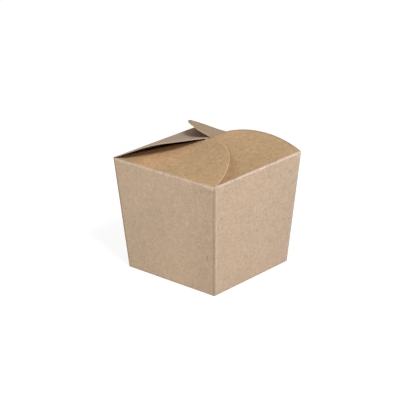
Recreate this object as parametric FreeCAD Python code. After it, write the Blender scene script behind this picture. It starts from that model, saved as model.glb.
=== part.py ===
import FreeCAD, Part
import math
import os
from FreeCAD import Matrix, Vector

os.makedirs("parts", exist_ok=True)

# Driving dimensions, all in millimetres and degrees
TOP_SIDE = 90.0            # outer side of the square at the rim folds
BASE_SIDE = 77.4           # outer side of the square that stands on the table
RIM_HEIGHT = 80.2          # from the table to the fold of the four closing petals
BOARD = 0.45               # thickness of the kraft board
CORNER_RADIUS = 0.9        # outside of the four upright creases

ARC_LIFT = 25.0            # slope of a petal above level at the corner where its round side starts
HIDDEN_LIFT = 5.0          # slope at the other corner, where the next petal covers it
PETAL_REACH = 45.6         # from the fold to the petal's tip, along its slope
TIP_GAP = 0.25             # petal's tip to the upright middle line of the pail
TUCK_STEP = 3.0            # the covered side meets the tip this far below it
TUCK_BULGE = 6.0           # how far the covered side bows out from a straight line
CORNER_SETBACK = 1.8       # the covered side starts this far from the pail's corner
CREASE_GAP = 0.1           # between the wall's top edge and the petal that stands over it

SEAM_WIDTH = 12.0          # glued strip inside the far upright crease
SEAM_FOOT = 6.0            # height at which the strip starts
SEAM_HEAD = 9.0            # how far below the rim the strip ends
SEAM_TAPER = 4.0           # its two ends are cut at a slant
SLIT_WIDTH = 0.6           # gap between the outer base flaps
SLIT_JOG = 12.0            # sideways step of that gap halfway along it
SLIT_PLACE = 16.0          # from the base's middle to the gap's middle, towards the back
FOOT_RADIUS = 0.8          # outside of the creases round the base

# Values that follow from them
HALF_TOP = TOP_SIDE / 2
HALF_BASE = BASE_SIDE / 2
LEAN = (HALF_TOP - HALF_BASE) / RIM_HEIGHT
WALL_TOP = RIM_HEIGHT - BOARD - CREASE_GAP
BASE_THICK = 2 * BOARD
CURVE_STEPS = 24


# Carton: one sheet creased at the uprights, with its base flaps locked and glued under it

def rounded_square(half, radius, z):
    flat = half - radius
    diagonal = flat + radius * math.sqrt(0.5)
    edges = []
    for turn in range(4):
        spin = FreeCAD.Rotation(Vector(0, 0, 1), 90.0 * turn)
        start = spin.multVec(Vector(half, -flat, z))
        end = spin.multVec(Vector(half, flat, z))
        middle = spin.multVec(Vector(diagonal, diagonal, z))
        after = spin.multVec(Vector(flat, half, z))
        edges.append(Part.LineSegment(start, end).toShape())
        edges.append(Part.Arc(end, middle, after).toShape())
    return Part.Wire(edges)


def tapered_block(inset, radius, bottom, top):
    lower = rounded_square(HALF_BASE + LEAN * bottom - inset, radius, bottom)
    upper = rounded_square(HALF_BASE + LEAN * top - inset, radius, top)
    return Part.makeLoft([lower, upper], True, True)


def box_between(x0, x1, y0, y1, z0, z1):
    return Part.makeBox(x1 - x0, y1 - y0, z1 - z0, Vector(x0, y0, z0))


def glue_seam():
    radius = CORNER_RADIUS - BOARD
    overlap = BOARD / 2
    outer = tapered_block(BOARD - overlap, radius + overlap, 0.0, RIM_HEIGHT)
    inner = tapered_block(2 * BOARD, BOARD / 4, 0.0, RIM_HEIGHT)
    head = RIM_HEIGHT - SEAM_HEAD
    near = HALF_BASE - CORNER_RADIUS - BOARD
    points = [
        Vector(near, 0, SEAM_FOOT),
        Vector(near - SEAM_WIDTH, 0, SEAM_FOOT + SEAM_TAPER),
        Vector(near - SEAM_WIDTH, 0, head - SEAM_TAPER),
        Vector(near, 0, head),
    ]
    strip = Part.Face(Part.makePolygon(points + points[:1]))
    return outer.cut(inner).common(strip.extrude(Vector(0, TOP_SIDE, 0)))


def base_slit():
    half_gap = SLIT_WIDTH / 2
    near = SLIT_PLACE - SLIT_JOG / 2
    far = SLIT_PLACE + SLIT_JOG / 2
    reach = HALF_BASE - 2 * CORNER_RADIUS
    left = box_between(-reach, half_gap, near - half_gap, near + half_gap, 0, BOARD)
    right = box_between(-half_gap, reach, far - half_gap, far + half_gap, 0, BOARD)
    step = box_between(-half_gap, half_gap, near, far, 0, BOARD)
    return left.fuse([right, step])


def on_the_table(edge):
    return edge.BoundBox.ZMax < FOOT_RADIUS / 2


def carton():
    outside = tapered_block(0.0, CORNER_RADIUS, 0.0, WALL_TOP)
    outside = outside.makeFillet(FOOT_RADIUS, [e for e in outside.Edges if on_the_table(e)])
    inside = tapered_block(BOARD, CORNER_RADIUS - BOARD, BASE_THICK, RIM_HEIGHT)
    body = outside.cut(inside).cut(base_slit())
    return body.fuse(glue_seam()).removeSplitter()


# Closing petals: each one turns at its rim fold and laps over the next one round the rim

def lift_at(along):
    return math.radians(ARC_LIFT + (HIDDEN_LIFT - ARC_LIFT) * along / TOP_SIDE)


def on_petal(along, reach):
    angle = lift_at(along)
    inward = reach * math.cos(angle) - HALF_TOP
    return Vector(HALF_TOP - along, inward, RIM_HEIGHT + reach * math.sin(angle))


def smooth_edge(points, values):
    curve = Part.BSplineCurve()
    curve.interpolate(Points=points, Parameters=values)
    return curve.toShape()


def twisted_sheet():
    far = 1.1 * PETAL_REACH
    steps = [TOP_SIDE * i / CURVE_STEPS for i in range(CURVE_STEPS + 1)]
    fold = Part.LineSegment(on_petal(0, 0), on_petal(TOP_SIDE, 0)).toShape()
    free_edge = smooth_edge([on_petal(s, far) for s in steps], steps)
    return Part.makeRuledSurface(fold, free_edge).extrude(Vector(0, 0, -BOARD))


def plan_edge(flat_points):
    points = [on_petal(along, reach) for along, reach in flat_points]
    for point in points:
        point.z = 0.0
    values = [i / (len(points) - 1) for i in range(len(points))]
    return smooth_edge(points, values)


def round_side():
    tip_along = HALF_TOP - TIP_GAP
    sweep = math.acos(1 - tip_along / HALF_TOP)
    turns = [sweep * i / CURVE_STEPS for i in range(CURVE_STEPS + 1)]
    return [(HALF_TOP * (1 - math.cos(a)), PETAL_REACH * math.sin(a)) for a in turns]


def covered_side():
    start = Vector(HALF_TOP - TIP_GAP, PETAL_REACH - TUCK_STEP, 0)
    end = Vector(TOP_SIDE - CORNER_SETBACK, 0, 0)
    chord = end - start
    outward = Vector(-chord.y, chord.x, 0).normalize()
    middle = start + chord * 0.5 + outward * TUCK_BULGE
    arc = Part.Arc(start, middle, end).toShape()
    return [(p.x, p.y) for p in arc.discretize(CURVE_STEPS + 1)]


def petal_outline():
    rounded = round_side()
    covered = covered_side()
    first = plan_edge(rounded)
    last = plan_edge(covered)
    tip = Part.LineSegment(first.lastVertex().Point, last.firstVertex().Point).toShape()
    fold = Part.LineSegment(last.lastVertex().Point, first.firstVertex().Point).toShape()
    return Part.Face(Part.Wire([first, tip, last, fold]))


def front_petal():
    column = petal_outline().extrude(Vector(0, 0, RIM_HEIGHT + PETAL_REACH))
    return twisted_sheet().common(column)


def turned(shape, quarters):
    placed = shape.copy()
    placed.rotate(Vector(0, 0, 0), Vector(0, 0, 1), 90.0 * quarters)
    return placed


# Each solid is written on its own, ready to stand on z = 0 round the upright middle line

def main():
    solids = {"carton": carton()}
    first = front_petal()
    for quarters, side in enumerate(["front", "right", "back", "left"]):
        solids["petal_" + side] = turned(first, quarters)
    for name, shape in solids.items():
        solid = shape.Solids[0]
        solid.exportStep("parts/" + name + ".step")


main()
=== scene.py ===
import math

import bmesh
import bpy
from mathutils import Matrix, Vector


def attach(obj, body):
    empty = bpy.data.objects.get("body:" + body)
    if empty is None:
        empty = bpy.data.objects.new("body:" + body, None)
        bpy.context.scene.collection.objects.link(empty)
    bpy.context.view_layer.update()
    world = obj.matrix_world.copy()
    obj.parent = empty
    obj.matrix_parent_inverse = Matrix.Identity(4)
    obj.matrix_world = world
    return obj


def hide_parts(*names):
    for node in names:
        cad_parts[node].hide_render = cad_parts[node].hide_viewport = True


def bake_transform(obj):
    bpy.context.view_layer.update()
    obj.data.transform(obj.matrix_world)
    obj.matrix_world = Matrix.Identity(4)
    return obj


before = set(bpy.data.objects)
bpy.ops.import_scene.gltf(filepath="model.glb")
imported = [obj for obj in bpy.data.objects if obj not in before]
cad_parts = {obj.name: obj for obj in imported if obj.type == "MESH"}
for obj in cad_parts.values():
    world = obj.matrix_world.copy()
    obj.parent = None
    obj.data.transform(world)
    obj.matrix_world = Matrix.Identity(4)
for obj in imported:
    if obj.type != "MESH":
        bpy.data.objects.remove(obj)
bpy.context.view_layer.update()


# Carton sheet: four tapered walls.
# One sheet of 0.45 mm board, creased at the four uprights and round the base, and glued at the far
# right upright. Its top edge stops where the petals' sheets take over, just below the folds.

class Wire:
    """A socket of a material's node tree that takes part in ordinary arithmetic."""

    def __init__(self, tree, socket):
        self.tree = tree
        self.socket = socket

    def maths(self, operation, *values, clamp=False):
        node = self.tree.nodes.new("ShaderNodeMath")
        node.operation = operation
        node.use_clamp = clamp
        for place, value in enumerate(values):
            if isinstance(value, Wire):
                self.tree.links.new(value.socket, node.inputs[place])
            else:
                node.inputs[place].default_value = value
        return Wire(self.tree, node.outputs[0])

    def __add__(self, other):
        return self.maths("ADD", self, other)

    __radd__ = __add__

    def __sub__(self, other):
        return self.maths("SUBTRACT", self, other)

    def __rsub__(self, other):
        return self.maths("SUBTRACT", other, self)

    def __mul__(self, other):
        return self.maths("MULTIPLY", self, other)

    __rmul__ = __mul__

    def __truediv__(self, other):
        return self.maths("DIVIDE", self, other)

    def __rtruediv__(self, other):
        return self.maths("DIVIDE", other, self)

    def __abs__(self):
        return self.maths("ABSOLUTE", self)

    def greater(self, other):
        return self.maths("MAXIMUM", self, other)

    def fade(self, start, end):
        """0 at start and before it, 1 at end and past it."""
        span = end - start
        return self.maths("MULTIPLY_ADD", self, 1 / span, -start / span, clamp=True)


class Finish:
    """The node tree of a material or of the world, and the one way in which its nodes are added."""

    def __init__(self, owner):
        owner.use_nodes = True
        self.owner = owner
        self.tree = owner.node_tree

    def node(self, kind, settings=None, sockets=None, output=0):
        """A node with its settings made first; sockets gives values or links by name or number."""
        made = self.tree.nodes.new("ShaderNode" + kind)
        for name, value in (settings or {}).items():
            setattr(made, name, value)
        for name, value in (sockets or {}).items():
            if isinstance(value, Wire):
                self.tree.links.new(value.socket, made.inputs[name])
            else:
                made.inputs[name].default_value = value
        if isinstance(output, tuple):
            return [Wire(self.tree, made.outputs[name]) for name in output]
        return Wire(self.tree, made.outputs[output])

    def tint(self, amount, under, over):
        return self.node("Mix", {"data_type": "RGBA"}, {0: amount, 6: under, 7: over}, output=2)

    def fill(self, name, **sockets):
        """Sets or links the sockets of a node that the tree was made with."""
        for socket, value in sockets.items():
            place = self.tree.nodes[name].inputs[socket.replace("_", " ")]
            if isinstance(value, Wire):
                self.tree.links.new(value.socket, place)
            else:
                place.default_value = value


def shade(red, green, blue):
    """A colour as seen on screen, 0 to 255, as the light values that a material takes."""
    steps = []
    for level in (red, green, blue):
        level = level / 255
        steps.append(level / 12.92 if level < 0.04045 else ((level + 0.055) / 1.055) ** 2.4)
    return (*steps, 1.0)


GRAIN_SWING = 0.24
FIBRE_STRETCH = 0.22
SPECK_BROWN = shade(124, 88, 58)
SPECK_AMOUNT = 0.40
CHIP_BROWN = shade(226, 205, 178)
CHIP_AMOUNT = 0.35
STRAND_BROWN = shade(118, 86, 58)
STRAND_AMOUNT = 0.28
RELIEF_DEPTH = 0.00005
BOARD_ROUGHNESS = 0.80
ROUGHNESS_SWING = 0.2


def kraft(name, colour, layers=(), cloudy=0.45, flecked=1.0):
    """Kraft board of one brown, with layers of other browns, each brought in where its mask is 1.

    cloudy is how far the brown drifts over a few centimetres, and flecked how strong its grain is.
    Scales are in patches per metre: mottle and weave show as grain, hair and straw as its fibres.
    """
    board = Finish(bpy.data.materials.new(name))
    place = board.node("TexCoord", output="Object")

    def speckle(scale, detail, rough, vector=place):
        return board.node("TexNoise", None, {
            "Vector": vector, "Scale": scale, "Detail": detail, "Roughness": rough,
        })

    def stretched(scale):
        return board.node("Mapping", None, {"Vector": place, "Scale": scale})

    across = stretched((FIBRE_STRETCH, FIBRE_STRETCH, 1))
    along = stretched((1, 1, FIBRE_STRETCH))
    mottle = speckle(420, detail=3, rough=0.7)
    grain = speckle(1150, detail=2, rough=0.6)
    hair = speckle(2100, detail=2, rough=0.7, vector=across)
    straw = speckle(2100, detail=2, rough=0.7, vector=along)
    weave = speckle(900, detail=1, rough=0.5, vector=across)
    weave = weave + speckle(900, detail=1, rough=0.5, vector=along) - 1.0
    cloud = speckle(60, detail=2, rough=0.6)
    tone = (mottle - 0.5) * 0.6 + (grain - 0.5) * 0.5 + (hair + straw - 1.0) * 0.5 + weave * 0.5
    tone = 0.5 + tone * flecked + (cloud - 0.5) * cloudy

    def shaded(brown):
        darker = (*(level * (1 - GRAIN_SWING) for level in brown[:3]), 1.0)
        lighter = (*(min(1.0, level * (1 + GRAIN_SWING)) for level in brown[:3]), 1.0)
        return board.tint(tone, darker, lighter)

    brown = shaded(colour)
    for mask, over in layers:
        brown = board.tint(mask(board, place), brown, shaded(over))
    specks = speckle(1000, detail=1, rough=0.4).fade(0.66, 0.74)
    brown = board.tint(specks * (SPECK_AMOUNT * flecked), brown, SPECK_BROWN)
    chips = speckle(900, detail=1, rough=0.4, vector=along).fade(0.72, 0.80)
    brown = board.tint(chips * CHIP_AMOUNT, brown, CHIP_BROWN)
    strand = abs(speckle(260, detail=1, rough=0.5) - 0.5).fade(0.032, 0.008)
    broken = speckle(420, detail=1, rough=0.5).fade(0.55, 0.62)
    brown = board.tint(strand * broken * STRAND_AMOUNT, brown, STRAND_BROWN)
    height = (hair + straw) * 0.5 + grain * 0.4 + mottle * 0.5
    relief = board.node("Bump", None, {"Height": height, "Distance": RELIEF_DEPTH, "Strength": 1})
    matt = BOARD_ROUGHNESS + (mottle - 0.5) * ROUGHNESS_SWING
    board.fill(
        "Principled BSDF", Base_Color=brown, Roughness=matt, Normal=relief,
        Specular_IOR_Level=0.2, Sheen_Weight=0.05, Sheen_Roughness=0.4,
    )
    return board.owner


TOP_SIDE = 0.090
BASE_SIDE = 0.0774
FOLD_HEIGHT = 0.0802
BOARD = 0.00045
LEAN = (TOP_SIDE - BASE_SIDE) / 2 / FOLD_HEIGHT
UPRIGHT_RADIUS = 0.0006
FOOT_RADIUS = 0.0005
CORNER_TOP = 0.0796
FOLD_STRIP = 0.0030
STRIP_FOOT = FOLD_HEIGHT - FOLD_STRIP
ROUND_SETBACK = 0.0013
COVERED_SETBACK = 0.0018
ROUND_END = TOP_SIDE / 2 - ROUND_SETBACK
COVERED_END = TOP_SIDE / 2 - COVERED_SETBACK
SLIT_NEAR = 0.010
SLIT_FAR = 0.022
SLIT_HALF = 0.0003
SLIT_REACH = 0.0369
CREASE_STEPS = 5
CREASE_ANGLE = math.radians(40.0)
TINY = 1e-6
CUT_TOLERANCE = 1e-7
# Cosines past which a face or an edge counts as upright, as square on to a wall, and as level.
UPRIGHT = 0.9
SQUARE_ON = 0.99
LEVEL = 0.5


def half_side(height):
    return BASE_SIDE / 2 + LEAN * height


def pick(piece, kind, wanted):
    """In edit mode, selects just the vertices, edges or faces that are wanted.

    wanted is asked with each one's middle and its normal, which for an edge is its own direction.
    """
    grid = bmesh.from_edit_mesh(piece.data)
    bpy.context.tool_settings.mesh_select_mode = (kind == "VERT", kind == "EDGE", kind == "FACE")
    for group in (grid.verts, grid.edges, grid.faces):
        for element in group:
            element.select = False
    for element in {"VERT": grid.verts, "EDGE": grid.edges, "FACE": grid.faces}[kind]:
        if kind == "VERT":
            middle, facing = element.co, element.normal
        elif kind == "EDGE":
            middle = (element.verts[0].co + element.verts[1].co) / 2
            facing = (element.verts[0].co - element.verts[1].co).normalized()
        else:
            middle, facing = element.calc_center_median(), element.normal
        if wanted(middle, facing):
            element.select_set(True)
    grid.select_flush_mode()
    bmesh.update_edit_mesh(piece.data)


def anywhere(middle, facing):
    return True


def begin(name, add, scale=(1, 1, 1), **how):
    """Adds a primitive under its own name and opens it for editing, with nothing else selected."""
    bpy.ops.object.select_all(action="DESELECT")
    add(**how)
    piece = bpy.context.object
    piece.scale = scale
    piece.name = piece.data.name = name
    bpy.ops.object.transform_apply(location=True, rotation=True, scale=True)
    bpy.ops.object.mode_set(mode="EDIT")
    return piece


def cut(piece, point, across, drop=False, among=None):
    """Cuts the mesh on a plane; drop removes what lies on the plane's outer side."""
    pick(piece, "FACE", among or anywhere)
    bpy.ops.mesh.bisect(plane_co=point, plane_no=across, clear_outer=drop, threshold=CUT_TOLERANCE)


def apply_all(piece):
    for modifier in list(piece.modifiers):
        bpy.ops.object.modifier_apply(modifier=modifier.name)


def thicken(piece, thickness):
    """Gives a sheet its board's thickness inwards, with the second material on the cut edges."""
    modifier = piece.modifiers.new("Board", "SOLIDIFY")
    modifier.thickness = thickness
    modifier.offset = -1.0
    modifier.use_even_offset = True
    modifier.material_offset_rim = 1
    apply_all(piece)


def finish_piece(piece, materials, body=None):
    """Closes a piece: smooth where it is rounded, sharp where it is cut, and riding on its body."""
    for place, material in enumerate(materials):
        if place < len(piece.data.materials):
            piece.data.materials[place] = material
        else:
            piece.data.materials.append(material)
    bpy.ops.object.select_all(action="DESELECT")
    piece.select_set(True)
    bpy.context.view_layer.objects.active = piece
    bpy.ops.object.shade_smooth_by_angle(angle=CREASE_ANGLE)
    if body:
        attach(piece, body)


# Each pair says where a mark starts and where it is full, in metres from a wall's face or the table.
PALE_TURN_FROM = (0.0030, 0.0018)
PALE_TURN_UNTIL = (0.0008, 0.0013)
PALE_TURN_FACE = (0.0003, 0.0001)
TURN_WEAR_AND_HIGHLIGHT = 0.20
CORNER_PALE_HEIGHT = (FOLD_HEIGHT - 0.0018, FOLD_HEIGHT - 0.0008)
CORNER_WEAR_AND_HIGHLIGHT = 0.5
SIDE_WALL = (0.0013, 0.0008)
# Bands of painted shade beside the uprights and towards the near upright, and of painted contact
# shadow at the foot.
SHADE_BAND = (0.0020, 0.0012)
SHADE_UPRIGHT = 0.42
NEAR_BAND = (0.030, 0.002)
SHADE_NEAR = 0.17
FOOT_BAND = (0.0020, 0.0006)
FOOT_SHADOW = 0.12
SIDE_FOOT_SHADOW = 0.10


def crease_wear_and_highlight(board, place):
    """Crease wear and painted highlight: front and back walls at the uprights, and rim corners."""
    x, y, z = board.node("SeparateXYZ", None, {0: place}, output=(0, 1, 2))
    wall = z * LEAN + BASE_SIDE / 2
    inward = wall - abs(x)
    past_upright = inward.fade(*PALE_TURN_FROM) * inward.fade(*PALE_TURN_UNTIL)
    front_or_back = (wall - abs(y)).fade(*PALE_TURN_FACE)
    rim = z.fade(*CORNER_PALE_HEIGHT)
    return (past_upright * front_or_back * TURN_WEAR_AND_HIGHLIGHT).greater(rim * CORNER_WEAR_AND_HIGHLIGHT)


def painted_wall_shade(board, place):
    """Painted shade by the uprights, broad by the near one, and painted contact shadow at the foot.
    """
    x, y, z = board.node("SeparateXYZ", None, {0: place}, output=(0, 1, 2))
    wall = z * LEAN + BASE_SIDE / 2
    onto_side = (wall - abs(x)).fade(*SIDE_WALL)
    beside = (wall - abs(y)).fade(*SHADE_BAND) * onto_side * SHADE_UPRIGHT
    near = (wall + y).fade(*NEAR_BAND) * onto_side * SHADE_NEAR
    foot = z.fade(*FOOT_BAND) * (onto_side * SIDE_FOOT_SHADOW + FOOT_SHADOW)
    return beside.greater(near).greater(foot)


FLECK_EDGE = (1.2, 0.5)


def one_fleck(middle, radii, amount):
    """A single fibre or speck of the pulp, at one place on the sheet."""
    def mask(board, place):
        off = board.node("VectorMath", {"operation": "SUBTRACT"}, {0: place, 1: middle})
        off = board.node("VectorMath", {"operation": "DIVIDE"}, {0: off, 1: radii})
        distance = board.node("VectorMath", {"operation": "LENGTH"}, {0: off}, output="Value")
        return distance.fade(*FLECK_EDGE) * amount
    return mask


WALL_BROWN = shade(194, 169, 142)
WALL_CLOUD = 0.25
# Pale of the creases: crease wear together with painted highlight on their rounding.
CREASE_WEAR_AND_HIGHLIGHT = shade(221, 203, 187)
# Dark brown of the painted shade and contact shadow on the walls.
PAINTED_SHADE = shade(120, 96, 72)
CUT_EDGE = shade(232, 203, 160)
DARK_FIBRE = shade(88, 74, 62)
RUST_SPECK = shade(178, 118, 72)
dark_fibre = one_fleck(
    middle=(-0.0408, -0.03475, 0.0272), radii=(0.0020, 0.0005, 0.0019), amount=0.55
)
rust_speck = one_fleck(
    middle=(-0.0364, -0.0431, 0.0557), radii=(0.0011, 0.0020, 0.0009), amount=0.50
)
wall_board = kraft(
    "kraft_wall", WALL_BROWN,
    [
        (painted_wall_shade, PAINTED_SHADE), (crease_wear_and_highlight, CREASE_WEAR_AND_HIGHLIGHT),
        (dark_fibre, DARK_FIBRE), (rust_speck, RUST_SPECK),
    ],
    cloudy=WALL_CLOUD,
)
edge_board = kraft("kraft_cut_edge", CUT_EDGE)
board_materials = [wall_board, edge_board]

carton = begin(
    "carton_sheet", bpy.ops.mesh.primitive_cube_add, size=1.0,
    location=(0, 0, CORNER_TOP / 2), scale=(BASE_SIDE, BASE_SIDE, CORNER_TOP),
)
pick(carton, "VERT", lambda middle, facing: middle.z > CORNER_TOP / 2)
spread = half_side(CORNER_TOP) / half_side(0)
bpy.ops.transform.resize(value=(spread, spread, 1), center_override=(0, 0, CORNER_TOP))
pick(carton, "EDGE", lambda middle, facing: abs(facing.z) > UPRIGHT)
bpy.ops.mesh.bevel(offset=UPRIGHT_RADIUS, segments=CREASE_STEPS, affect="EDGES")
pick(carton, "EDGE", lambda middle, facing: middle.z < TINY)
bpy.ops.mesh.bevel(offset=FOOT_RADIUS, segments=CREASE_STEPS, affect="EDGES")
pick(carton, "FACE", lambda middle, facing: facing.z > UPRIGHT)
bpy.ops.mesh.delete(type="FACE")
cut(carton, (0, 0, STRIP_FOOT), (0, 0, 1))
for side in (-COVERED_END, -ROUND_END, ROUND_END, COVERED_END):
    cut(carton, (side, 0, 0), (1, 0, 0), among=lambda middle, facing: middle.z > STRIP_FOOT)
    cut(carton, (0, side, 0), (0, 1, 0), among=lambda middle, facing: middle.z > STRIP_FOOT)


def under_fold(middle, facing):
    """True on the strip of wall that belongs to the sheet of the petal above it."""
    if middle.z < STRIP_FOOT or abs(facing.z) > LEVEL:
        return False
    if abs(facing.y) > SQUARE_ON:
        run = middle.x if facing.y < 0 else -middle.x
    elif abs(facing.x) > SQUARE_ON:
        run = middle.y if facing.x > 0 else -middle.y
    else:
        return False
    return -COVERED_END < run < ROUND_END


pick(carton, "FACE", under_fold)
bpy.ops.mesh.delete(type="FACE")


def on_base(middle, facing):
    return middle.z < TINY


for line in (SLIT_NEAR, SLIT_FAR):
    for shift in (-SLIT_HALF, SLIT_HALF):
        cut(carton, (0, line + shift, 0), (0, 1, 0), among=on_base)
for line in (-SLIT_REACH, -SLIT_HALF, SLIT_HALF, SLIT_REACH):
    cut(carton, (line, 0, 0), (1, 0, 0), among=on_base)


def in_slit(middle, facing):
    if middle.z > TINY or abs(middle.x) > SLIT_REACH:
        return False
    left = middle.x < SLIT_HALF and abs(middle.y - SLIT_NEAR) < SLIT_HALF
    right = middle.x > -SLIT_HALF and abs(middle.y - SLIT_FAR) < SLIT_HALF
    step = abs(middle.x) < SLIT_HALF and SLIT_NEAR < middle.y < SLIT_FAR
    return left or right or step


pick(carton, "FACE", in_slit)
bpy.ops.mesh.delete(type="FACE")
bpy.ops.object.mode_set(mode="OBJECT")
thicken(carton, BOARD)
finish_piece(carton, board_materials, "carton")
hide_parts("carton")


# Inner base flaps.
# Two flaps of the same sheet fold in from the left and right walls, and meet right of the middle.
# They lie flat on the outer flaps and are glued to them.

INNER_MEET = 0.008
INNER_GAP = 0.00005
INNER_CORNER = 0.009
CORNER_SLANT = 0.45
GLUE_GAP = 0.0001
GLUED_BOARD = BOARD * 0.98  # a hair thinner, so that glued faces keep apart
inner_half = half_side(BOARD) - BOARD - GLUE_GAP
for side, name in ((-1, "base_flap_left"), (1, "base_flap_right")):
    near_end = INNER_MEET + side * INNER_GAP
    wall_end = side * inner_half
    flap = begin(
        name, bpy.ops.mesh.primitive_plane_add, size=1.0,
        location=((near_end + wall_end) / 2, 0, 2 * BOARD),
        scale=(abs(wall_end - near_end), 2 * inner_half, 1),
    )
    for end in (-1, 1):
        corner = Vector((near_end, end * (inner_half - INNER_CORNER), 0))
        cut(flap, corner, Vector((-side * CORNER_SLANT, end, 0)), drop=True)
    bpy.ops.object.mode_set(mode="OBJECT")
    thicken(flap, GLUED_BOARD)
    finish_piece(flap, board_materials, "carton")


# Glued seam.
# A strip of the right wall's sheet turns in at the far right upright, and is glued inside the back
# wall. Its two ends are cut at a slant, so that it can't catch when the pail is folded.

SEAM_WIDTH = 0.012
SEAM_FOOT = 0.006
SEAM_HEAD = 0.072
SEAM_TAPER = 0.004
seam_near = half_side(0) - UPRIGHT_RADIUS - BOARD
tilt = math.atan(LEAN)
seam_middle = (SEAM_FOOT + SEAM_HEAD) / 2
seam = begin(
    "glue_seam", bpy.ops.mesh.primitive_plane_add, size=1.0,
    location=(seam_near - SEAM_WIDTH / 2, half_side(seam_middle) - 2 * BOARD, seam_middle),
    rotation=(math.pi / 2 - tilt, 0, 0),
    scale=(SEAM_WIDTH, SEAM_HEAD - SEAM_FOOT, 1),
)
seam_far = seam_near - SEAM_WIDTH
for end, edge in ((1, SEAM_HEAD), (-1, SEAM_FOOT)):
    corner = Vector((seam_far, 0, edge - end * SEAM_TAPER))
    cut(seam, corner, Vector((-SEAM_TAPER, 0, end * SEAM_WIDTH)), drop=True)
bpy.ops.object.mode_set(mode="OBJECT")
thicken(seam, GLUED_BOARD)
finish_piece(seam, board_materials, "carton")


# Closing petals.
# Four petals of the same sheet, hinged at the rim folds and tucked round. Each is twisted: its round
# side stands up and laps over the next petal, and its covered side lies low under the one before.

ARC_LIFT = math.radians(25.0)
HIDDEN_LIFT = math.radians(5.0)
PETAL_REACH = 0.0456
TIP_GAP = 0.00025
TUCK_STEP = 0.0030
TUCK_BULGE = 0.0060
SHEET_STEP = 0.0022
FOLD_RADIUS = 0.0008
ROUND_STEPS = 192
TUCK_STEPS = 24
# The petal browns are warmer than WALL_BROWN though all is one sheet: painted warm top light. The
# right and back ones are greyer, with painted sheen of grazing light.
LEFT_BROWN = shade(174, 144, 107)
FRONT_BROWN = shade(172, 142, 105)
RIGHT_SHEEN_BROWN = shade(166, 141, 111)
BACK_SHEEN_BROWN = shade(175, 152, 127)
# The back petal's cut edge is darker: painted shade.
BACK_EDGE_SHADE = shade(180, 158, 132)
PETAL_FLECKS = 1.4
# Each pair says where a mark starts and where it is full: in metres from the fold or the middle of
# the pail, or, for the laps and rims, as a share of the way to the petal's round side, squared.
WALL_BEGINS = (0.0004, -0.0006)
LEFT_WALL = (-0.0430, -0.0442)
FOLD_BAND = (0.0014, 0.0004)
FOLD_DROP = 0.0001
LEFT_FOLD_DROP = 0.0005
# How pale the folds are: crease wear and painted highlight, dimmed on the left fold as painted shade.
FOLD_WEAR_AND_HIGHLIGHT = 0.62
LEFT_FOLD_DIMMER = 0.22
# Warm dark brown of the painted contact shadow beside the left petal's lap.
LAP_SHADOW = shade(140, 82, 24)
LAP_REACH = 0.0438
LAP_MIDDLE = 1.07
LAP_BREADTH = 0.26
LAP_AMOUNT = 0.23
LAP_UPPER = (-0.036, -0.022)
LAP_UPPER_MORE = 0.08
# Painted shade towards the round side's edge of the right and front petals.
RIM_SHADE = shade(112, 96, 78)
RIM_SHADE_BAND = (0.90, 1.0)
RIM_SHADE_AMOUNT = 0.35
# Painted highlight along the left petal's lit round side.
EDGE_HIGHLIGHT = shade(222, 192, 150)
EDGE_HIGHLIGHT_BAND = (0.955, 0.985)
EDGE_HIGHLIGHT_FROM = (-0.036, -0.028)
EDGE_HIGHLIGHT_UNTIL = (-0.003, -0.012)
EDGE_HIGHLIGHT_AMOUNT = 0.30
# Painted light on the left petal, beside the back petal's round side.
LIGHT_PATCH = shade(206, 165, 121)
PATCH_X = -0.024
PATCH_Y = 0.018
PATCH_RADII = (0.026, 0.004)
PATCH_AMOUNT = 0.62


def on_sheet(board):
    """How far a point lies along its fold, and how far from it: below 0 on the wall's side."""
    flat = board.node("UVMap", {"uv_map": "sheet"})
    return board.node("SeparateXYZ", None, {0: flat}, output=(0, 1))


def fold_wear_and_highlight(board, place):
    """Pale along the fold on the wall's side: crease wear and painted highlight, less on the left as
    painted shade.
    """
    left = board.node("SeparateXYZ", None, {0: place}, output=0).fade(*LEFT_WALL)
    along, reach = on_sheet(board)
    off_line = abs(reach + FOLD_DROP + left * LEFT_FOLD_DROP)
    return off_line.fade(*FOLD_BAND) * (FOLD_WEAR_AND_HIGHLIGHT - left * LEFT_FOLD_DIMMER)


def wall_side(board, place):
    along, reach = on_sheet(board)
    return reach.fade(*WALL_BEGINS)


def painted_lap_shadow(board, place):
    """Painted contact shadow on the front petal along the line where the left petal's round side
    rests.
    """
    x, y = board.node("SeparateXYZ", None, {0: place}, output=(0, 1))
    across = (x + TOP_SIDE / 2) / LAP_REACH
    down = y / (TOP_SIDE / 2)
    off_line = abs(across * across + down * down - LAP_MIDDLE)
    return off_line.fade(LAP_BREADTH, 0.0) * (y.fade(*LAP_UPPER) * LAP_UPPER_MORE + LAP_AMOUNT)


def round_side(board, start, end):
    """Fades in from start to end, where 0 is the middle of the fold and 1 the petal's round side."""
    along, reach = on_sheet(board)
    across = along / (TOP_SIDE / 2)
    up = reach / PETAL_REACH
    return (across * across + up * up).fade(start, end)


# Painted shade: the petal darkens towards its round side's edge.
def painted_rim_shade(board, place):
    return round_side(board, *RIM_SHADE_BAND) * RIM_SHADE_AMOUNT


def painted_edge_highlight(board, place):
    """Painted highlight: a pale band along the left petal's round side, where it lies on the front
    petal.
    """
    y = board.node("SeparateXYZ", None, {0: place}, output=1)
    return round_side(board, *EDGE_HIGHLIGHT_BAND) * y.fade(*EDGE_HIGHLIGHT_FROM) * y.fade(*EDGE_HIGHLIGHT_UNTIL) * EDGE_HIGHLIGHT_AMOUNT


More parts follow.
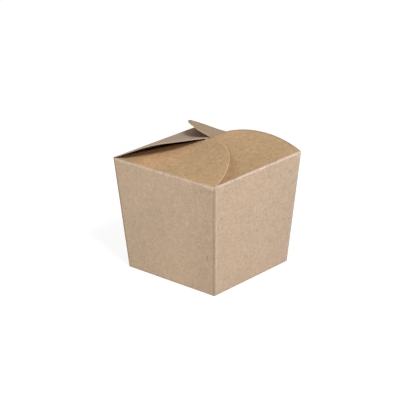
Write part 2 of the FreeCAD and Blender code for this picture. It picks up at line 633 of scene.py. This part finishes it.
def painted_light_patch(board, place):
    """Painted light: a paler patch on the left petal beside the back petal's round side."""
    x, y = board.node("SeparateXYZ", None, {0: place}, output=(0, 1))
    across = x - PATCH_X
    down = y - PATCH_Y
    outer, inner = PATCH_RADII
    return (across * across + down * down).fade(outer ** 2, inner ** 2) * PATCH_AMOUNT


fold_layers = [(wall_side, WALL_BROWN), (fold_wear_and_highlight, CREASE_WEAR_AND_HIGHLIGHT)]
petal_looks = {
    "front": (FRONT_BROWN, [(painted_lap_shadow, LAP_SHADOW), (painted_rim_shade, RIM_SHADE)]),
    "right": (RIGHT_SHEEN_BROWN, [(painted_rim_shade, RIM_SHADE)]),
    "back": (BACK_SHEEN_BROWN, []),
    "left": (LEFT_BROWN, [(painted_light_patch, LIGHT_PATCH), (painted_edge_highlight, EDGE_HIGHLIGHT)]),
}
petal_boards = {
    side: kraft("kraft_petal_" + side, brown, marks + fold_layers, flecked=PETAL_FLECKS)
    for side, (brown, marks) in petal_looks.items()
}
# Cut edge board of the back petal, darkened as painted shade.
shaded_lip_board = kraft("kraft_back_lip_painted_shade", BACK_EDGE_SHADE)

petal = begin(
    "petal_sheet_front", bpy.ops.mesh.primitive_circle_add, vertices=ROUND_STEPS,
    radius=TOP_SIDE / 2, fill_type="NGON", calc_uvs=True,
)
pick(petal, "VERT", anywhere)
bpy.ops.transform.resize(value=(1, PETAL_REACH / (TOP_SIDE / 2), 1), center_override=(0, 0, 0))
cut(petal, (0, 0, 0), (0, -1, 0), drop=True)
cut(petal, (TIP_GAP, 0, 0), (1, 0, 0))
pick(petal, "FACE", lambda middle, facing: middle.x < TIP_GAP)
bpy.ops.mesh.split()
start = Vector((TIP_GAP, PETAL_REACH - TUCK_STEP, 0))
end = Vector((-COVERED_END, 0, 0))
chord = end - start
outward = Vector((chord.y, -chord.x, 0)).normalized()
tuck_radius = (chord.length ** 2 / 4 + TUCK_BULGE ** 2) / (2 * TUCK_BULGE)
tuck_centre = (start + end) / 2 - outward * (tuck_radius - TUCK_BULGE)
half_turn = math.asin(chord.length / 2 / tuck_radius)
# The covered side is cut on an arc, by one short straight cut after another.
for step in range(TUCK_STEPS + 1):
    ray = Matrix.Rotation(half_turn * (2 * step / TUCK_STEPS - 1), 3, "Z") @ outward
    cut(
        petal, tuck_centre + ray * tuck_radius, ray, drop=True,
        among=lambda middle, facing: middle.x < TIP_GAP,
    )
strips = int(TOP_SIDE / SHEET_STEP)
rows = strips // 2
for step in range(1, strips):
    cut(petal, (TOP_SIDE * (step / strips - 0.5), 0, 0), (1, 0, 0))
for step in range(1, rows):
    cut(petal, (0, PETAL_REACH * step / rows, 0), (0, 1, 0))
cut(petal, (ROUND_END, 0, 0), (1, 0, 0))
cut(petal, (0, PETAL_REACH - TUCK_STEP, 0), (0, 1, 0))
pick(petal, "VERT", anywhere)
bpy.ops.mesh.remove_doubles(threshold=TINY)
pick(petal, "VERT", anywhere)
bpy.ops.transform.rotate(
    value=-(ARC_LIFT + HIDDEN_LIFT) / 2, orient_axis="X", center_override=(0, 0, 0)
)
bpy.ops.object.mode_set(mode="OBJECT")
run = [vertex.co.x for vertex in petal.data.vertices]
twist = petal.modifiers.new("Twist", "SIMPLE_DEFORM")
twist.deform_method = "TWIST"
twist.deform_axis = "X"
twist.angle = (ARC_LIFT - HIDDEN_LIFT) * (max(run) - min(run)) / TOP_SIDE
apply_all(petal)

bpy.ops.object.mode_set(mode="EDIT")
pick(petal, "VERT", anywhere)
bpy.ops.transform.translate(value=(0, -TOP_SIDE / 2, FOLD_HEIGHT))
bpy.ops.mesh.normals_make_consistent(inside=False)


def on_fold(middle, facing):
    return abs(middle.y + TOP_SIDE / 2) < TINY and middle.x < ROUND_END


pick(petal, "EDGE", on_fold)
bpy.ops.mesh.extrude_region_move(
    TRANSFORM_OT_translate={"value": (0, LEAN * FOLD_STRIP, -FOLD_STRIP)}
)
pick(petal, "EDGE", on_fold)
bpy.ops.mesh.bevel(offset=FOLD_RADIUS, segments=CREASE_STEPS, affect="EDGES")
bpy.ops.object.mode_set(mode="OBJECT")
mid_petal = Vector((0, -TOP_SIDE / 3, FOLD_HEIGHT))
middle_face = min(petal.data.polygons, key=lambda face: (face.center - mid_petal).length)
if middle_face.normal.z < 0:
    petal.data.flip_normals()
petal.data.materials.append(petal_boards["front"])
petal.data.materials.append(edge_board)
# The map named sheet holds each point's way along its fold and from it, as on the flat board.
sheet = petal.data.uv_layers[0]
sheet.name = "sheet"
fold = Vector((0, -TOP_SIDE / 2, FOLD_HEIGHT))
for corner in petal.data.loops:
    off = petal.data.vertices[corner.vertex_index].co - fold
    on_petal = off.y > abs(off.z) / 2
    reach = math.hypot(off.y, off.z) * (1 if on_petal else -1)
    sheet.data[corner.index].uv = (off.x, reach)
thicken(petal, BOARD)

# The left petal is like the front one. The right one is shorter, and the back one longer with its tip
# to the side, and both spring up beside the round side: by a rise, over a breadth, at one place.
petals = {"front": petal}
REACH_SCALE = {"right": 0.945, "back": 1.018, "left": 1.0}
TIP_SHIFT = {"right": 0.0, "back": 0.0019, "left": 0.0}
SPRING = {
    "right": {"rise": 0.0010, "along": 0.037, "reach": 0.012, "breadth": 0.016},
    "back": {"rise": 0.0009, "along": 0.036, "reach": 0.028, "breadth": 0.020},
}
SPRING_SLOPE = math.radians(23.0)
CREST_RADIUS = 0.0025
STRETCH_LINE = -TOP_SIDE / 2 + 0.001
FOLD_KEPT = -TOP_SIDE / 2 + 0.0015
TIP_WIDTH = 0.0003
TIP_BEGINS = -0.0045


def by_the_fold(middle, facing):
    return middle.y < FOLD_KEPT


def at_tip(middle, facing):
    return abs(middle.x - TIP_GAP) < TIP_WIDTH and middle.y > TIP_BEGINS


for turn, side in enumerate(("right", "back", "left"), start=1):
    bpy.ops.object.select_all(action="DESELECT")
    petal.select_set(True)
    bpy.context.view_layer.objects.active = petal
    bpy.ops.object.duplicate(linked=False)
    copy = bpy.context.object
    copy.name = copy.data.name = "petal_sheet_" + side
    bpy.ops.object.mode_set(mode="EDIT")
    pick(copy, "VERT", lambda middle, facing: middle.y > STRETCH_LINE)
    bpy.ops.transform.resize(
        value=(1, REACH_SCALE[side], 1), center_override=(0, STRETCH_LINE, FOLD_HEIGHT)
    )
    pick(copy, "VERT", at_tip)
    bpy.ops.transform.translate(value=(-TIP_SHIFT[side], 0, 0))
    if side in SPRING:
        spring = SPRING[side]
        uphill = Vector((0, math.cos(SPRING_SLOPE), math.sin(SPRING_SLOPE)))
        crest = fold + uphill * spring["reach"] + Vector((spring["along"], 0, 0))
        pick(copy, "VERT", by_the_fold)
        bpy.ops.mesh.hide(unselected=False)
        pick(copy, "VERT", lambda middle, facing: (middle - crest).length < CREST_RADIUS)
        bpy.ops.transform.translate(
            value=(0, 0, spring["rise"]), use_proportional_edit=True,
            proportional_edit_falloff="SMOOTH", proportional_size=spring["breadth"],
        )
        bpy.ops.mesh.reveal(select=False)
    bpy.ops.object.mode_set(mode="OBJECT")
    copy.rotation_euler.z = turn * math.pi / 2
    bpy.ops.object.transform_apply(location=True, rotation=True, scale=True)
    petals[side] = copy

for turn, (side, piece) in enumerate(petals.items()):
    finish_piece(piece, [petal_boards[side], shaded_lip_board if side == "back" else edge_board])
    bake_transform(piece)
    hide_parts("petal_" + side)


# Studio.
# A white surround, a soft key lamp high to the camera's right and a faint fill lamp low at its left.
# The white floor takes the pail's shadow, and is clear under the pail and when seen from below.

WHITE = (1, 1, 1, 1)
SURROUND_LEVEL = 0.39
LAMP_DISTANCE = 1.5
FLOOR_SIDE = 8.0
FLOOR_GAP = 0.0002
CLEAR_EDGE = 0.0002
FLOOR_LIT = (0.80, 0.80, 0.80, 1)
FLOOR_SHOWN = (0.30, 0.30, 0.30, 1)
FLOOR_GLOW = 0.84


def seen_from(azimuth, elevation):
    """The way from the pail to a lamp or camera: azimuth 0 is in front, and below 0 to the left."""
    return Vector((
        math.sin(azimuth) * math.cos(elevation),
        -math.cos(azimuth) * math.cos(elevation),
        math.sin(elevation),
    ))


def soft_lamp(name, level, side, azimuth, elevation, colour):
    """A square area lamp that gives a surface facing it that level of light, 1 being full."""
    light = bpy.data.lights.new(name, "AREA")
    light.shape = "SQUARE"
    light.size = side
    light.energy = level * (math.pi * LAMP_DISTANCE) ** 2
    light.color = colour
    lamp = bpy.data.objects.new(name, light)
    bpy.context.scene.collection.objects.link(lamp)
    toward = seen_from(azimuth, elevation)
    lamp.location = toward * LAMP_DISTANCE + Vector((0, 0, FOLD_HEIGHT / 2))
    lamp.rotation_euler = toward.to_track_quat("Z", "Y").to_euler()


soft_lamp(
    "key_lamp", level=0.82, side=0.34, azimuth=math.radians(-25), elevation=math.radians(48),
    colour=(0.98, 0.99, 1.06),
)
soft_lamp(
    "fill_lamp", level=0.19, side=0.6, azimuth=math.radians(-92), elevation=math.radians(4),
    colour=(1.00, 0.995, 0.90),
)

floor = begin(
    "floor", bpy.ops.mesh.primitive_plane_add, size=1.0, location=(0, 0, -FLOOR_GAP),
    scale=(FLOOR_SIDE, FLOOR_SIDE, 1),
)
bpy.ops.mesh.subdivide(number_cuts=3)
bpy.ops.object.mode_set(mode="OBJECT")


def seen_directly(finish):
    """1 for what the camera sees, straight or in gloss or glass, and 0 for light on the object."""
    straight, gloss, glass = finish.node(
        "LightPath", output=("Is Camera Ray", "Is Glossy Ray", "Is Transmission Ray")
    )
    return straight.greater(gloss).greater(glass)


paper = Finish(bpy.data.materials.new("floor"))
matt = {"Roughness": 1.0, "Specular IOR Level": 0.0}
lit = paper.node("BsdfPrincipled", None, {"Base Color": FLOOR_LIT, **matt})
shown = paper.node("BsdfPrincipled", None, {
    "Base Color": FLOOR_SHOWN, "Emission Color": WHITE, "Emission Strength": FLOOR_GLOW, **matt,
})
mixed = paper.node("MixShader", None, {0: seen_directly(paper), 1: lit, 2: shown})
spot = paper.node("TexCoord", output="Object")
across, down = paper.node("SeparateXYZ", None, {0: spot}, output=(0, 1))
foot_edge = BASE_SIDE / 2 - FOOT_RADIUS
under_pail = abs(across).greater(abs(down)).fade(foot_edge, foot_edge - CLEAR_EDGE)
open_floor = paper.node("NewGeometry", output="Backfacing").greater(under_pail)
clear = paper.node("BsdfTransparent")
paper_floor = paper.node("MixShader", None, {0: open_floor, 1: mixed, 2: clear})
paper.fill("Material Output", Surface=paper_floor)
floor.data.materials.append(paper.owner)

surround = Finish(bpy.data.worlds.new("surround"))
bpy.context.scene.world = surround.owner
lighting = surround.node("Background", None, {"Color": WHITE, "Strength": SURROUND_LEVEL})
white = surround.node("Background", None, {"Color": WHITE, "Strength": 1.0})
mixed = surround.node("MixShader", None, {0: seen_directly(surround), 1: lighting, 2: white})
surround.fill("World Output", Surface=mixed)


# Camera.
# It stands at the photograph's viewpoint: about 1.1 m away, 21.5 degrees above the pail's middle,
# facing the near upright from a little to its left.

CAMERA_AZIMUTH = math.radians(-48.953)
CAMERA_ELEVATION = math.radians(21.555)
CAMERA_ROLL = math.radians(-0.439)
CAMERA_DISTANCE = 1.1109
LENS = 140.85
AIM = Vector((0.0, 0.0, FOLD_HEIGHT / 2))
AIM_RIGHT = 0.000024
AIM_UP = 0.001180
back = seen_from(CAMERA_AZIMUTH, CAMERA_ELEVATION)
level_right = Vector((math.cos(CAMERA_AZIMUTH), math.sin(CAMERA_AZIMUTH), 0))
level_up = back.cross(level_right)
right = level_right * math.cos(CAMERA_ROLL) + level_up * math.sin(CAMERA_ROLL)
up = level_up * math.cos(CAMERA_ROLL) - level_right * math.sin(CAMERA_ROLL)
view = bpy.data.cameras.new("camera")
view.sensor_width = 36.0
view.lens = LENS
camera = bpy.data.objects.new("camera", view)
bpy.context.scene.collection.objects.link(camera)
turned = Matrix((right, up, back)).transposed().to_4x4()
turned.translation = AIM + right * AIM_RIGHT + up * AIM_UP + back * CAMERA_DISTANCE
camera.matrix_world = turned
bpy.context.scene.camera = camera
bpy.context.scene.view_settings.view_transform = "Standard"

bpy.context.view_layer.update()
